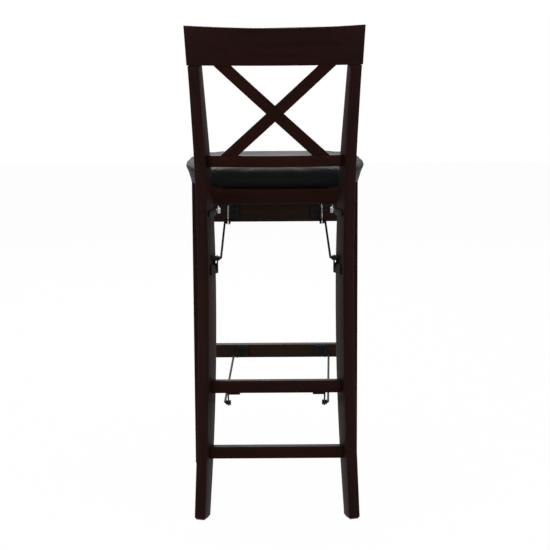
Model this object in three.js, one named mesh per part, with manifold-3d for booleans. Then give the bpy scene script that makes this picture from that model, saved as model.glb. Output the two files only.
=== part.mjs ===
// Folding bar stool with a crossed back, a padded seat and two leg frames joined by a folding linkage.
// Millimetres, +Z up, the sitter faces -Y, and the origin is on the floor under the middle of the stool.
// Every piece is first drawn with Y = 0 at the rear of the waist of the rear posts.
import * as THREE from 'three';
import { mergeVertices } from 'three/addons/utils/BufferGeometryUtils.js';
import Module from 'manifold-3d';

const wasm = await Module();
wasm.setup();

// Clearances
const fitGap = 0.3; // glued, screwed or resting pieces
const runGap = 0.3; // radial play of a turning pin in its hole
const originShift = 191.15; // moves the drawing so that the origin is under the middle of the stool

// Rear posts, which run from the floor to the crest rail
const postThickness = 24.8;
const postSpread = 156.5; // from the middle plane to the middle of the post at its waist
const postTurn = 20; // degrees, the posts stand square to the bowed rails
const postHeights = [0, 154, 317, 499, 653, 787, 922, 1010];
const postRearOffsets = [36, 18.5, 5.8, 0, 2.9, 14, 32.6, 47];
const postDepths = [33, 42, 47, 47, 42.7, 35.7, 26.8, 23];
const postSteps = 22;

// Back
const bowRadius = 560;
const bowSteps = 20;
const crestBottom = 984;
const crestHeight = 82.5; // at its ends
const crestDip = 5.4; // the middle of its top edge lies this much lower
const crestThickness = 24;
const crestLean = 9.4; // degrees
const crestHalfWidth = 184; // at its lower edge
const crestFlare = 3.3; // degrees, the ends follow the posts outwards
const crestProud = 0.6; // behind the posts' rear faces
const backRailBottom = 768;
const backRailHeight = 24.5;
const backRailThickness = 19;
const backRailLean = 6; // degrees
const backRailInset = 15; // ahead of the posts' rear faces
const slatWidth = 25;
const slatThickness = 12;
const slatTopSpread = 109.5; // from the middle plane to a slat's middle at the crest rail
const slatFootSpread = 97; // and at the lower back rail
const slatInset = 4; // ahead of the rails' rear faces
const slatSteps = 24;

// Rear stretchers
const stretcherThickness = 21;
const midStretcher = { bottom: 273.5, height: 27, rear: -5 };
const lowStretcher = { bottom: 130, height: 26, rear: 5 };

// Folding linkage: the seat, the upper rods and the lower rods are equal, parallel links
const linkReach = 364;
const linkRise = 28;
const seatPivot = { y: -62, z: 667 };
const upperPivot = { y: -26, z: 567 };
const lowerPivot = { y: -38, z: 245 };
const seatFrontY = seatPivot.y - linkReach; // the seat's front pivot

// How far the front pieces stand behind or ahead of the front pivot
const apronBehind = 22;
const footrestBehind = 11;
const boardAhead = 12;
const cushionAhead = 36;

// Front frame
const frontLegInner = 171;
const frontLegThickness = 24;
const frontLegRound = 16; // rounding of the top around the front pivot
const frontLegDepth = 39;
const frontFootDepth = 34;
const frontLegRun = 15; // the foot stands this far ahead of the top
const apron = { bottom: 593, top: 677.5, thickness: 20, rear: seatFrontY + apronBehind };
const footrest = { bottom: 263.5, top: 294.5, thickness: 26, rear: seatFrontY + footrestBehind };

// Seat
const railTop = 711.5;
const railHeight = 32.5;
const sideRailInner = 148;
const sideRailThickness = 20;
const sideRailRear = -68;
const rearRail = { rear: -67, thickness: 19 };
const frontRail = { rear: apron.rear, thickness: 20 };
const board = { halfWidth: 138, rear: -96, front: seatFrontY - boardAhead, thickness: 9 };

// Cushion
const cushionTop = 762;
const cushionRear = -66;
const cushionFront = seatFrontY - cushionAhead;
const cushionPoints = 56;
// Plan of the widest ring, as X and a share of the way from the rear to the front
const cushionPlan = [
  [0, 0], [70, 0], [128, 0.01], [163, 0.068], [187, 0.194], [199, 0.351], [202, 0.495],
  [200, 0.654], [195, 0.806], [184, 0.924], [152, 0.985], [80, 1], [0, 1],
];
// Rings as a share of the height and a distance in from the widest ring
const cushionRings = [
  [0, 15], [0.2, 11], [0.42, 7], [0.64, 2.5], [0.79, 0],
  [0.87, 2.5], [0.92, 9], [0.95, 24], [0.975, 58], [0.99, 118],
];

// Steel hardware
const rodDiameter = 5;
const upperRodSpread = 118;
const lowerRodSpread = 113;
const lowerRodSkew = 13; // the front ends of both lower rods stand this far to the right
const rodBend = 6;
const rodHook = 11; // how far each end turns aside
const earOffset = 8; // from the rod's line to the middle of the ear that holds it
const rodSides = 10;
const rodBendSteps = 5;
const rodLineSteps = 10;
const plateThickness = 3;
const earRadius = 7;
// Free ends of the ears, in degrees round the pin from the rear upwards
const hingeEarArc = [200, 380];
const postEarArc = [-50, 130];
const frontEarArc = [-90, 90];
const stretcherEarArc = [150, 330];
const earSteps = 10;
const hingePlateX = 129.5;
const hingePlateLength = 34; // along the post
const hingeLugGap = 3; // between the hinge plate and the lug beside it
const hingeLugFlange = 24;
const hingePinDiameter = 6;
const boltDiameter = 8;
const boltDepth = 15; // into the side rail
const headHeight = 2.5;
const washerThickness = 2;
const legBracket = { drop: 34, height: 22, forward: -21 }; // from the upper rod's pivot

const frontFlange = 26;
const apronScrews = [616, 630];
const apronPlate = { bottom: 602, top: 642 };
const footrestScrew = 286;
const footrestPlate = { bottom: 266, top: 292 };
const screwHeadDiameter = 7;
const screwDiameter = 3.2;
const glideHeight = 3;
const glideMargin = 2.5;
const roundSides = 20;
const screwSides = 12;

// Finishes
const darkWood = { color: 0x1f100e, roughness: 0.42, metalness: 0 };
const redWood = { color: 0x2a1713, roughness: 0.4, metalness: 0 };
const vinyl = { color: 0x121716, roughness: 0.38, metalness: 0 };
const plywood = { color: 0x6e5334, roughness: 0.8, metalness: 0 };
const blackSteel = { color: 0x141516, roughness: 0.38, metalness: 0.85 };
const brightSteel = { color: 0xa9abad, roughness: 0.3, metalness: 1 };
const nylon = { color: 0x18130f, roughness: 0.6, metalness: 0 };

const stool = new THREE.Group();
const sides = [[1, 'left'], [-1, 'right']];

function toSolid(geometry) {
  geometry.deleteAttribute('normal');
  geometry.deleteAttribute('uv');
  const merged = mergeVertices(geometry);
  return new wasm.Manifold(new wasm.Mesh({
    numProp: 3,
    vertProperties: new Float32Array(merged.attributes.position.array),
    triVerts: new Uint32Array(merged.index.array),
  }));
}

function toGeometry(solid) {
  const mesh = solid.getMesh();
  const geometry = new THREE.BufferGeometry();
  geometry.setAttribute('position', new THREE.BufferAttribute(new Float32Array(mesh.vertProperties), 3));
  geometry.setIndex(new THREE.BufferAttribute(new Uint32Array(mesh.triVerts), 1));
  geometry.computeVertexNormals();
  return geometry;
}

function addPiece(name, solid, finish) {
  const mesh = new THREE.Mesh(toGeometry(solid), new THREE.MeshStandardMaterial(finish));
  mesh.name = name;
  mesh.position.y = originShift;
  stool.add(mesh);
}

// Adds a piece and its mirror image, named for the sitter's left and right
function addPair(name, solid, finish) {
  for (const [side, word] of sides) {
    addPiece(`${name}_${word}`, mirrored(solid, side), finish);
  }
}

function mirrored(solid, side) {
  return side > 0 ? solid : solid.mirror([1, 0, 0]);
}

function box(x0, x1, y0, y1, z0, z1) {
  const geometry = new THREE.BoxGeometry(x1 - x0, y1 - y0, z1 - z0);
  geometry.translate((x0 + x1) / 2, (y0 + y1) / 2, (z0 + z1) / 2);
  return toSolid(geometry);
}

// An outline in plan (x, y), raised from z0 to z1
function raised(points, z0, z1) {
  const shape = new THREE.Shape(points.map(([x, y]) => new THREE.Vector2(x, y)));
  const geometry = new THREE.ExtrudeGeometry(shape, { depth: z1 - z0, bevelEnabled: false });
  geometry.translate(0, 0, z0);
  return toSolid(geometry);
}

// An outline seen from the side (y, z), widened from x0 to x1
function widened(points, x0, x1) {
  const shape = new THREE.Shape(points.map(([y, z]) => new THREE.Vector2(y, z)));
  const geometry = new THREE.ExtrudeGeometry(shape, { depth: x1 - x0, bevelEnabled: false });
  geometry.rotateX(Math.PI / 2);
  geometry.rotateZ(Math.PI / 2);
  geometry.translate(x0, 0, 0);
  return toSolid(geometry);
}

function pinAlongX(x0, x1, pivot, diameter) {
  const geometry = new THREE.CylinderGeometry(diameter / 2, diameter / 2, x1 - x0, roundSides);
  geometry.rotateZ(-Math.PI / 2);
  geometry.translate((x0 + x1) / 2, pivot.y, pivot.z);
  return toSolid(geometry);
}

function pinAlongY(x, y0, y1, z, diameter) {
  const geometry = new THREE.CylinderGeometry(diameter / 2, diameter / 2, y1 - y0, screwSides);
  geometry.translate(x, (y0 + y1) / 2, z);
  return toSolid(geometry);
}

// Points of an arc seen from the side, from one angle to another in degrees
function arc(centre, radius, from, to) {
  return Array.from({ length: earSteps + 1 }, (_, i) => {
    const angle = THREE.MathUtils.degToRad(THREE.MathUtils.lerp(from, to, i / earSteps));
    return [centre.y + radius * Math.cos(angle), centre.z + radius * Math.sin(angle)];
  });
}

// Leans a rail backwards above the given height; its edges stay level
function leaned(solid, z, degrees) {
  const lean = Math.tan(THREE.MathUtils.degToRad(degrees));
  return solid.transform([1, 0, 0, 0, 0, 1, 0, 0, 0, lean, 1, 0, 0, -lean * z, 0, 1]);
}

// A smooth function of height through the values at the post's stations
function overHeight(values) {
  const curve = new THREE.SplineCurve(values.map((value, i) => new THREE.Vector2(postHeights[i], value)));
  const samples = curve.getPoints(postSteps * values.length);
  return (z) => {
    const i = Math.max(samples.findIndex((sample) => sample.x >= z), 1);
    const [a, b] = [samples[i - 1], samples[i]];
    return THREE.MathUtils.mapLinear(z, a.x, b.x, a.y, b.y);
  };
}

const rearOffset = overHeight(postRearOffsets);
const postDepth = overHeight(postDepths);
const postTop = postHeights[postHeights.length - 1];

// Plan position on the left post, across its thickness (outwards) and along its depth (rearwards)
function postPoint(outwards, rearwards) {
  const turn = THREE.MathUtils.degToRad(postTurn);
  return [
    postSpread + outwards * Math.cos(turn) + rearwards * Math.sin(turn),
    -outwards * Math.sin(turn) + rearwards * Math.cos(turn),
  ];
}

function leftPost(allowance) {
  const heights = Array.from(
    { length: postSteps + 1 },
    (_, i) => THREE.MathUtils.lerp(glideHeight, postTop, i / postSteps));
  const rear = heights.map((z) => [rearOffset(z) + allowance, z]);
  const front = heights.map((z) => [rearOffset(z) - postDepth(z) - allowance, z]);
  const half = postThickness / 2 + allowance;
  return widened([...front, ...rear.reverse()], -half, half)
    .rotate([0, 0, -postTurn])
    .translate([postSpread, 0, 0]);
}

function bothPosts() {
  const post = leftPost(fitGap);
  return post.add(mirrored(post, -1));
}

// A plank bowed in plan whose rear face passes through the given point
function bowedPlank(halfWidth, [x, y], thickness, z0, z1) {
  const centre = y - Math.sqrt(bowRadius ** 2 - x ** 2);
  const reach = Math.asin(halfWidth / bowRadius);
  const row = (radius) => Array.from({ length: bowSteps + 1 }, (_, i) => {
    const angle = THREE.MathUtils.lerp(-reach, reach, i / bowSteps);
    return [radius * Math.sin(angle), centre + radius * Math.cos(angle)];
  });
  return raised([...row(bowRadius - thickness), ...row(bowRadius).reverse()], z0, z1);
}

const crestRearPoint = postPoint(0, rearOffset(crestBottom) + crestProud);
const backRailRearPoint = postPoint(-postThickness / 2, rearOffset(backRailBottom) - backRailInset);

// Everything above the crest rail's underside
function aboveCrestLine() {
  const wide = 2 * crestHalfWidth;
  return box(-wide, wide, -wide, wide, crestBottom - fitGap, crestBottom + wide);
}

// Everything below the lower back rail's top
function belowBackRailTop() {
  const wide = 2 * crestHalfWidth;
  const top = backRailBottom + backRailHeight + fitGap;
  return box(-wide, wide, -wide, wide, top - wide, top);
}

function crestRail() {
  const wide = 2 * crestHalfWidth;
  const plank = bowedPlank(wide / 2 + crestHeight / 2, crestRearPoint, crestThickness, crestBottom,
    crestBottom + crestHeight);
  const beyond = box(0, wide, -wide, wide, -wide, wide)
    .rotate([0, crestFlare, 0])
    .translate([crestHalfWidth, 0, crestBottom]);
  const dipped = plank.subtract(beyond).subtract(mirrored(beyond, -1)).warp((point) => {
    const share = (point[2] - crestBottom) / crestHeight;
    point[2] -= crestDip * share * Math.max(1 - (point[0] / crestHalfWidth) ** 2, 0);
  });
  return leaned(dipped, crestBottom, crestLean);
}

// The part of a rail between the posts
function betweenPosts(rail) {
  const width = (part) => part.boundingBox().max[0] - part.boundingBox().min[0];
  const parts = rail.subtract(bothPosts()).decompose();
  return parts.reduce((best, part) => (width(part) > width(best) ? part : best));
}

function backRail() {
  const plank = bowedPlank(
    postSpread, backRailRearPoint, backRailThickness, backRailBottom, backRailBottom + backRailHeight);
  return betweenPosts(leaned(plank, backRailBottom, backRailLean));
}

// Y of the slats' rear faces, on a bowed surface that runs from the lower rail to the crest rail
function slatRear(x, z) {
  const bow = ([px, py]) => py + Math.sqrt(bowRadius ** 2 - x ** 2) - Math.sqrt(bowRadius ** 2 - px ** 2);
  const share = THREE.MathUtils.mapLinear(z, backRailBottom, crestBottom, 0, 1);
  return THREE.MathUtils.lerp(bow(backRailRearPoint), bow(crestRearPoint), share) - slatInset;
}

// A slanting slat from one depth to another ahead of the slats' rear surface
function slat(direction, width, rearDepth, frontDepth) {
  const railTopZ = backRailBottom + backRailHeight;
  const rise = crestBottom - railTopZ;
  const run = slatTopSpread + slatFootSpread;
  const length = Math.hypot(rise, run) + 2 * slatWidth;
  const geometry = new THREE.BoxGeometry(width, frontDepth - rearDepth, length, 1, 1, slatSteps);
  geometry.translate(0, -(rearDepth + frontDepth) / 2, 0);
  geometry.rotateY(direction * Math.atan2(run, rise));
  geometry.translate(direction * (slatTopSpread - run / 2), 0, (crestBottom + railTopZ) / 2);
  const position = geometry.attributes.position;
  for (let i = 0; i < position.count; i += 1) {
    position.setY(i, position.getY(i) + slatRear(position.getX(i), position.getZ(i)));
  }
  return toSolid(geometry);
}

// The two slats are halved where they cross
function backSlats() {
  const middle = slatThickness / 2;
  const spare = slatThickness;
  const notchWidth = slatWidth + 2 * fitGap;
  const frontNotch = slat(-1, notchWidth, middle - fitGap / 2, spare * 2);
  const rearNotch = slat(1, notchWidth, -spare, middle + fitGap / 2);
  const trimmed = (solid) => solid.subtract(aboveCrestLine()).subtract(belowBackRailTop());
  addPiece('back_slat_behind', trimmed(slat(1, slatWidth, 0, slatThickness).subtract(frontNotch)), redWood);
  addPiece('back_slat_ahead', trimmed(slat(-1, slatWidth, 0, slatThickness).subtract(rearNotch)), redWood);
}

function straightStretcher({ bottom, height, rear }) {
  return betweenPosts(box(-postSpread, postSpread, rear - stretcherThickness, rear, bottom, bottom + height));
}

function rearGlide() {
  const halfWidth = postThickness / 2 - glideMargin;
  const halfDepth = postDepth(0) / 2 - glideMargin;
  const [x, y] = postPoint(0, rearOffset(0) - postDepth(0) / 2);
  return box(-halfWidth, halfWidth, -halfDepth, halfDepth, 0, glideHeight)
    .rotate([0, 0, -postTurn])
    .translate([x, y, 0]);
}

function rearFrame() {
  addPair('rear_post', leftPost(0).subtract(aboveCrestLine()), darkWood);
  addPair('rear_glide', rearGlide(), nylon);
  addPiece('crest_rail', crestRail(), darkWood);
  addPiece('lower_back_rail', backRail(), redWood);
  backSlats();
  addPiece('rear_mid_stretcher', straightStretcher(midStretcher), darkWood);
  addPiece('rear_low_stretcher', straightStretcher(lowStretcher), darkWood);
}

function linkFront(pivot) {
  return { y: pivot.y - linkReach, z: pivot.z + linkRise };
}

const frontPivot = linkFront(seatPivot);
const frontLegOuter = frontLegInner + frontLegThickness;
const frontLegTopFront = frontPivot.y - frontLegRound;
const frontFootFront = frontLegTopFront + frontLegDepth - frontLegRun - frontFootDepth;

function frontLeg() {
  const rearRound = { y: frontLegTopFront + frontLegDepth - frontLegRound, z: frontPivot.z };
  const outline = [
    ...arc(rearRound, frontLegRound, 0, 90),
    ...arc(frontPivot, frontLegRound, 90, 180),
    [frontFootFront, glideHeight],
    [frontFootFront + frontFootDepth, glideHeight],
  ];
  return widened(outline, frontLegInner, frontLegOuter)
    .subtract(pinAlongX(0, 2 * frontLegOuter, frontPivot, boltDiameter + 2 * runGap));
}

function frontGlide() {
  return box(frontLegInner + glideMargin, frontLegOuter - glideMargin, frontFootFront + glideMargin,
    frontFootFront + frontFootDepth - glideMargin, 0, glideHeight);
}

function crossBar({ bottom, top, thickness, rear }) {
  const end = frontLegInner - fitGap;
  return box(-end, end, rear - thickness, rear, bottom, top);
}

function frontFrame() {
  addPair('front_leg', frontLeg(), darkWood);
  addPair('front_glide', frontGlide(), nylon);
  addPiece('front_apron', crossBar(apron), redWood);
  addPiece('footrest', crossBar(footrest), redWood);
}

const sideRailOuter = sideRailInner + sideRailThickness;
const railBottom = railTop - railHeight;

function sideRail() {
  const frontRound = frontPivot.z - railBottom;
  const outline = [
    [sideRailRear, railBottom],
    [sideRailRear, railTop],
    [frontPivot.y - frontRound, railTop],
    ...arc(frontPivot, frontRound, 180, 270),
  ];
  const boltHole = pinAlongX(sideRailOuter - boltDepth - fitGap, 2 * sideRailOuter, frontPivot,
    boltDiameter + 2 * fitGap);
  return widened(outline.reverse(), sideRailInner, sideRailOuter).subtract(boltHole);
}

function seatCrossRail({ rear, thickness }) {
  const end = sideRailInner - fitGap;
  return box(-end, end, rear - thickness, rear, railBottom, railTop);
}

function cushionRing(inset, z) {
  const half = cushionPlan.map(([x, share]) => [x, THREE.MathUtils.lerp(cushionRear, cushionFront, share)]);
  const otherHalf = half.slice(1, -1).reverse().map(([x, y]) => [-x, y]);
  const curve = new THREE.CatmullRomCurve3(
    [...half, ...otherHalf].map(([x, y]) => new THREE.Vector3(x, y, z)), true);
  const middle = (cushionRear + cushionFront) / 2;
  const widest = Math.max(...cushionPlan.map(([x]) => x));
  return curve.getSpacedPoints(cushionPoints).slice(0, cushionPoints).map((point) => [
    point.x * (1 - inset / widest),
    middle + (point.y - middle) * (1 - (2 * inset) / (cushionRear - cushionFront)),
    z,
  ]);
}

// The cushion's form, closed by a fan under it and a fan on its crown
function cushionForm(bottom) {
  const rings = cushionRings.map(
    ([share, inset]) => cushionRing(inset, THREE.MathUtils.lerp(bottom, cushionTop, share)));
  const middle = (cushionRear + cushionFront) / 2;
  const vertices = [...rings.flat(), [0, middle, bottom], [0, middle, cushionTop]];
  const under = rings.length * cushionPoints;
  const lastRing = under - cushionPoints;
  const faces = [];
  for (let i = 0; i < cushionPoints; i += 1) {
    const next = (i + 1) % cushionPoints;
    for (let start = 0; start < lastRing; start += cushionPoints) {
      const above = start + cushionPoints;
      faces.push(start + next, start + i, above + i, start + next, above + i, above + next);
    }
    faces.push(under, i, next, under + 1, lastRing + next, lastRing + i);
  }
  const geometry = new THREE.BufferGeometry();
  geometry.setAttribute('position', new THREE.Float32BufferAttribute(vertices.flat(), 3));
  geometry.setIndex(faces);
  return toSolid(geometry);
}

function seatCushion() {
  const boardPocket = box(-board.halfWidth - fitGap, board.halfWidth + fitGap, board.front - fitGap,
    board.rear + fitGap, railBottom, railTop + board.thickness + 2 * fitGap);
  return cushionForm(railTop + fitGap).subtract(boardPocket);
}

function seatBoard() {
  return box(-board.halfWidth, board.halfWidth, board.front, board.rear, railTop, railTop + board.thickness);
}

function seat() {
  addPair('seat_side_rail', sideRail(), darkWood);
  addPiece('seat_rear_rail', seatCrossRail(rearRail), redWood);
  addPiece('seat_front_rail', seatCrossRail(frontRail), redWood);
  addPiece('seat_board', seatBoard(), plywood);
  addPiece('seat_cushion', seatCushion(), vinyl);
}

// A strip of plate that follows points in plan, raised from z0 to z1
function bentStrip(points, z0, z1) {
  const half = plateThickness / 2;
  const rows = [[], []];
  points.forEach(([x, y], i) => {
    const [bx, by] = points[Math.max(i - 1, 0)];
    const [ax, ay] = points[Math.min(i + 1, points.length - 1)];
    const along = new THREE.Vector2(ax - bx, ay - by).normalize().multiplyScalar(half);
    rows[0].push([x - along.y, y + along.x]);
    rows[1].push([x + along.y, y - along.x]);
  });
  return raised([...rows[1], ...rows[0].reverse()], z0, z1);
}

// Plan points of a plate that lies on the left post's inner face, from its rear end to its front end
function onPost(z, length, forward) {
  const outwards = -postThickness / 2 - fitGap - plateThickness / 2;
  const frontEdge = rearOffset(z) - postDepth(z);
  return [postPoint(outwards, frontEdge + length), postPoint(outwards, frontEdge - forward)];
}

// Screwed to the post; its front end carries the seat's pin
function seatHingePlate() {
  const plan = [...onPost(seatPivot.z, hingePlateLength, 0), [hingePlateX, seatPivot.y - earRadius]];
  return bentStrip(plan, seatPivot.z - earRadius, seatPivot.z + earRadius)
    .subtract(pinAlongX(0, 2 * hingePlateX, seatPivot, hingePinDiameter + 2 * runGap));
}

const lugOuter = hingePlateX - plateThickness / 2 - hingeLugGap;
const lugInner = lugOuter - plateThickness;

// Hangs under the seat's rear rail
function seatHingeLug() {
  const top = railBottom - fitGap;
  const flange = box(lugOuter - hingeLugFlange, lugOuter, rearRail.rear - rearRail.thickness, rearRail.rear,
    top - plateThickness, top);
  const ear = widened([
    ...arc(seatPivot, earRadius, ...hingeEarArc),
    [seatPivot.y + earRadius / 2, top - plateThickness],
    [rearRail.rear, top],
    [rearRail.rear - rearRail.thickness, top],
    [rearRail.rear - rearRail.thickness, top - plateThickness],
  ], lugInner, lugOuter);
  return flange.add(ear)
    .subtract(pinAlongX(0, lugOuter + plateThickness, seatPivot, hingePinDiameter + 2 * fitGap));
}

// A pin with a flat head on its inner end
function seatHingePin() {
  const headOuter = lugInner - fitGap;
  const shank = pinAlongX(headOuter, hingePlateX + plateThickness, seatPivot, hingePinDiameter);
  return shank.add(pinAlongX(headOuter - headHeight, headOuter, seatPivot, 2 * earRadius));
}

// Turns in the leg and ends in the side rail
function frontBolt() {
  const headInner = frontLegOuter + fitGap;
  const shank = pinAlongX(sideRailOuter - boltDepth, headInner, frontPivot, boltDiameter);
  return shank.add(pinAlongX(headInner, headInner + headHeight, frontPivot, 2 * boltDiameter));
}

function frontWasher() {
  const inner = (sideRailOuter + frontLegInner - washerThickness) / 2;
  return pinAlongX(inner, inner + washerThickness, frontPivot, 2 * boltDiameter)
    .subtract(pinAlongX(sideRailOuter, frontLegInner, frontPivot, boltDiameter + 2 * fitGap));
}

function rodHole(pivot) {
  return pinAlongX(0, frontLegInner, pivot, rodDiameter + 2 * runGap);
}

function earAt(x, outline) {
  return widened(outline, x - plateThickness / 2, x + plateThickness / 2);
}

// Screwed to the post; its arm holds the rear end of the upper rod
function postRodBracket() {
  const bottom = upperPivot.z - legBracket.drop;
  const top = bottom + legBracket.height;
  const forward = upperPivot.y + legBracket.forward;
  const x = upperRodSpread + earOffset;
  const [rear, front] = onPost(bottom, hingePlateLength, -plateThickness);
  const strip = bentStrip([rear, front, [x, front[1] - plateThickness], [x, forward]], bottom, top);
  const arm = earAt(x, [
    [forward, bottom],
    [front[1] - plateThickness, bottom],
    ...arc(upperPivot, earRadius, ...postEarArc),
    [forward, top],
  ]);
  return strip.add(arm).subtract(rodHole(upperPivot));
}

// An angle on the rear face of a front cross bar, whose ear holds the front end of a rod
function frontRodBracket(pivot, bar, plate, earX, screws) {
  const face = bar.rear + fitGap;
  const flange = box(earX - frontFlange, earX, face, face + plateThickness, plate.bottom, plate.top);
  const ear = earAt(earX, [
    [face, Math.min(plate.bottom, pivot.z)],
    ...arc(pivot, earRadius, ...frontEarArc),
    [face, plate.top],
  ]);
  return screws.reduce(
    (solid, z) => solid.subtract(screwShank(earX - frontFlange / 2, bar, z, screwDiameter + 2 * fitGap)),
    flange.add(ear).subtract(rodHole(pivot)));
}

function screwShank(x, bar, z, diameter) {
  return pinAlongY(x, bar.rear + fitGap / 2, bar.rear + 2 * fitGap + plateThickness, z, diameter);
}

// A flat head against a bracket on the rear face of a front cross bar
function frontScrew(x, bar, z) {
  const seatY = bar.rear + 2 * fitGap + plateThickness;
  return screwShank(x, bar, z, screwDiameter)
    .add(pinAlongY(x, seatY, seatY + headHeight, z, screwHeadDiameter));
}

// An angle under the rear stretcher, whose ear holds the rear end of a lower rod
function stretcherRodBracket(x) {
  const top = midStretcher.bottom - fitGap;
  const front = midStretcher.rear - stretcherThickness;
  const flange = box(
    x - frontFlange, x + plateThickness / 2, front, midStretcher.rear, top - plateThickness, top);
  const ear = earAt(x, [
    ...arc(lowerPivot, earRadius, ...stretcherEarArc),
    [midStretcher.rear, top - plateThickness],
    [midStretcher.rear, top],
    [front, top],
  ]);
  return flange.add(ear).subtract(rodHole(lowerPivot));
}

// Stations along a wire from a hook at the rear pivot to a hook at the front pivot
function rodStations(pivot, rearX, frontX, rearHook, frontHook) {
  const front = linkFront(pivot);
  const rearCorner = new THREE.Vector3(rearX, pivot.y, pivot.z);
  const frontCorner = new THREE.Vector3(frontX, front.y, front.z);
  const along = frontCorner.clone().sub(rearCorner).normalize();
  const beside = (corner, hook, length) => corner.clone().add(new THREE.Vector3(hook * length, 0, 0));
  const bend = (from, corner, to) => (
    new THREE.QuadraticBezierCurve3(from, corner, to).getPoints(rodBendSteps));
  const lineFrom = rearCorner.clone().addScaledVector(along, rodBend);
  const lineTo = frontCorner.clone().addScaledVector(along, -rodBend);
  const line = new THREE.LineCurve3(lineFrom, lineTo).getPoints(rodLineSteps).slice(1, -1);
  return [
    beside(rearCorner, rearHook, rodHook),
    ...bend(beside(rearCorner, rearHook, rodBend), rearCorner, lineFrom),
    ...line,
    ...bend(lineTo, frontCorner, beside(frontCorner, frontHook, rodBend)),
    beside(frontCorner, frontHook, rodHook),
  ];
}

// A round bar carried through stations, with flat ends
function bentRod(stations) {
  const vertices = [];
  const faces = [];
  let aside = new THREE.Vector3(0, 0, 1);
  stations.forEach((point, i) => {
    const before = stations[Math.max(i - 1, 0)];
    const after = stations[Math.min(i + 1, stations.length - 1)];
    const along = after.clone().sub(before).normalize();
    aside = aside.clone().addScaledVector(along, -aside.dot(along)).normalize();
    const across = along.clone().cross(aside);
    for (let k = 0; k < rodSides; k += 1) {
      const angle = (2 * Math.PI * k) / rodSides;
      vertices.push(...point.clone()
        .addScaledVector(aside, (Math.cos(angle) * rodDiameter) / 2)
        .addScaledVector(across, (Math.sin(angle) * rodDiameter) / 2));
    }
  });
  for (let start = 0; start + rodSides < stations.length * rodSides; start += rodSides) {
    for (let k = 0; k < rodSides; k += 1) {
      const next = (k + 1) % rodSides;
      faces.push(start + k, start + next, start + next + rodSides, start + k, start + next + rodSides,
        start + k + rodSides);
    }
  }
  const last = (stations.length - 1) * rodSides;
  for (let k = 1; k + 1 < rodSides; k += 1) {
    faces.push(0, k + 1, k, last, last + k, last + k + 1);
  }
  const geometry = new THREE.BufferGeometry();
  geometry.setAttribute('position', new THREE.Float32BufferAttribute(vertices, 3));
  geometry.setIndex(faces);
  return toSolid(geometry);
}

function seatHardware() {
  addPair('seat_hinge_plate', seatHingePlate(), blackSteel);
  addPair('seat_hinge_lug', seatHingeLug(), brightSteel);
  addPair('seat_hinge_pin', seatHingePin(), brightSteel);
  addPair('front_bolt', frontBolt(), brightSteel);
  addPair('front_washer', frontWasher(), brightSteel);
}

function upperLinkage() {
  const earX = upperRodSpread - earOffset;
  addPair('post_rod_bracket', postRodBracket(), blackSteel);
  const apronBracket = frontRodBracket(linkFront(upperPivot), apron, apronPlate, earX, apronScrews);
  addPair('apron_bracket', apronBracket, blackSteel);
  apronScrews.forEach((z, i) => {
    addPair(`apron_screw_${i + 1}`, frontScrew(earX - frontFlange / 2, apron, z), blackSteel);
  });
  addPair('upper_rod', bentRod(rodStations(upperPivot, upperRodSpread, upperRodSpread, 1, -1)), blackSteel);
}

function lowerLinkage() {
  addPair('stretcher_bracket', stretcherRodBracket(lowerRodSpread - earOffset), blackSteel);
  for (const [side, word] of sides) {
    const frontX = lowerRodSpread - side * lowerRodSkew;
    const earX = frontX - earOffset;
    const bracket = frontRodBracket(linkFront(lowerPivot), footrest, footrestPlate, earX, [footrestScrew]);
    const rod = bentRod(rodStations(lowerPivot, lowerRodSpread, frontX, -1, -1));
    addPiece(`footrest_bracket_${word}`, mirrored(bracket, side), blackSteel);
    addPiece(`footrest_screw_${word}`,
      mirrored(frontScrew(earX - frontFlange / 2, footrest, footrestScrew), side), blackSteel);
    addPiece(`lower_rod_${word}`, mirrored(rod, side), blackSteel);
  }
}

rearFrame();
frontFrame();
seat();
seatHardware();
upperLinkage();
lowerLinkage();

export default stool;
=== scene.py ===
"""Folding bar stool, seen from behind: its looks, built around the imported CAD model.

The boards, plates and rods are copies of the CAD solids with eased edges, and the cushion is inflated by a
short cloth simulation. The screws and the rods' bushes and caps come from Geometry Nodes. Lengths are metres;
colours are written as sRGB.
"""
import logging
import math
from dataclasses import dataclass, field
from enum import Enum
from typing import Any

import bmesh
import bpy
from mathutils import Matrix, Vector


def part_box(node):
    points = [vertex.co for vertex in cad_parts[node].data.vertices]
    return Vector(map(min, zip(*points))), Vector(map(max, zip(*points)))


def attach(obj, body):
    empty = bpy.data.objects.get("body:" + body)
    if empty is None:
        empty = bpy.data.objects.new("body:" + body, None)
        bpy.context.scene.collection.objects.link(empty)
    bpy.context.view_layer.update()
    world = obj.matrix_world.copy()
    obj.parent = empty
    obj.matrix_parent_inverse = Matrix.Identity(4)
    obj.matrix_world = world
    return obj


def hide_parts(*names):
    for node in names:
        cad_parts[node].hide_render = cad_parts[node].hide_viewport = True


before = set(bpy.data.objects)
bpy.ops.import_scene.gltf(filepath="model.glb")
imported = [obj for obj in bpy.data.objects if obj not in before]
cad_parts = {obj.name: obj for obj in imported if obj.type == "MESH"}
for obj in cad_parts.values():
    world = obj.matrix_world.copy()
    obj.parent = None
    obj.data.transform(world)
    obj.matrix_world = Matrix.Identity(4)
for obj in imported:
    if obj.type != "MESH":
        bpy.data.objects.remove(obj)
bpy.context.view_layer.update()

log = logging.getLogger("bar_stool")

Colour = tuple[float, float, float]
Triple = tuple[float, float, float]
SIDES = ("left", "right")
MERGE_DISTANCE = 1e-6
FLAT_ANGLE = math.radians(0.6)
BEVELLED_ANGLE = math.radians(38)
SHARP_ANGLE = math.radians(32)


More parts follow.
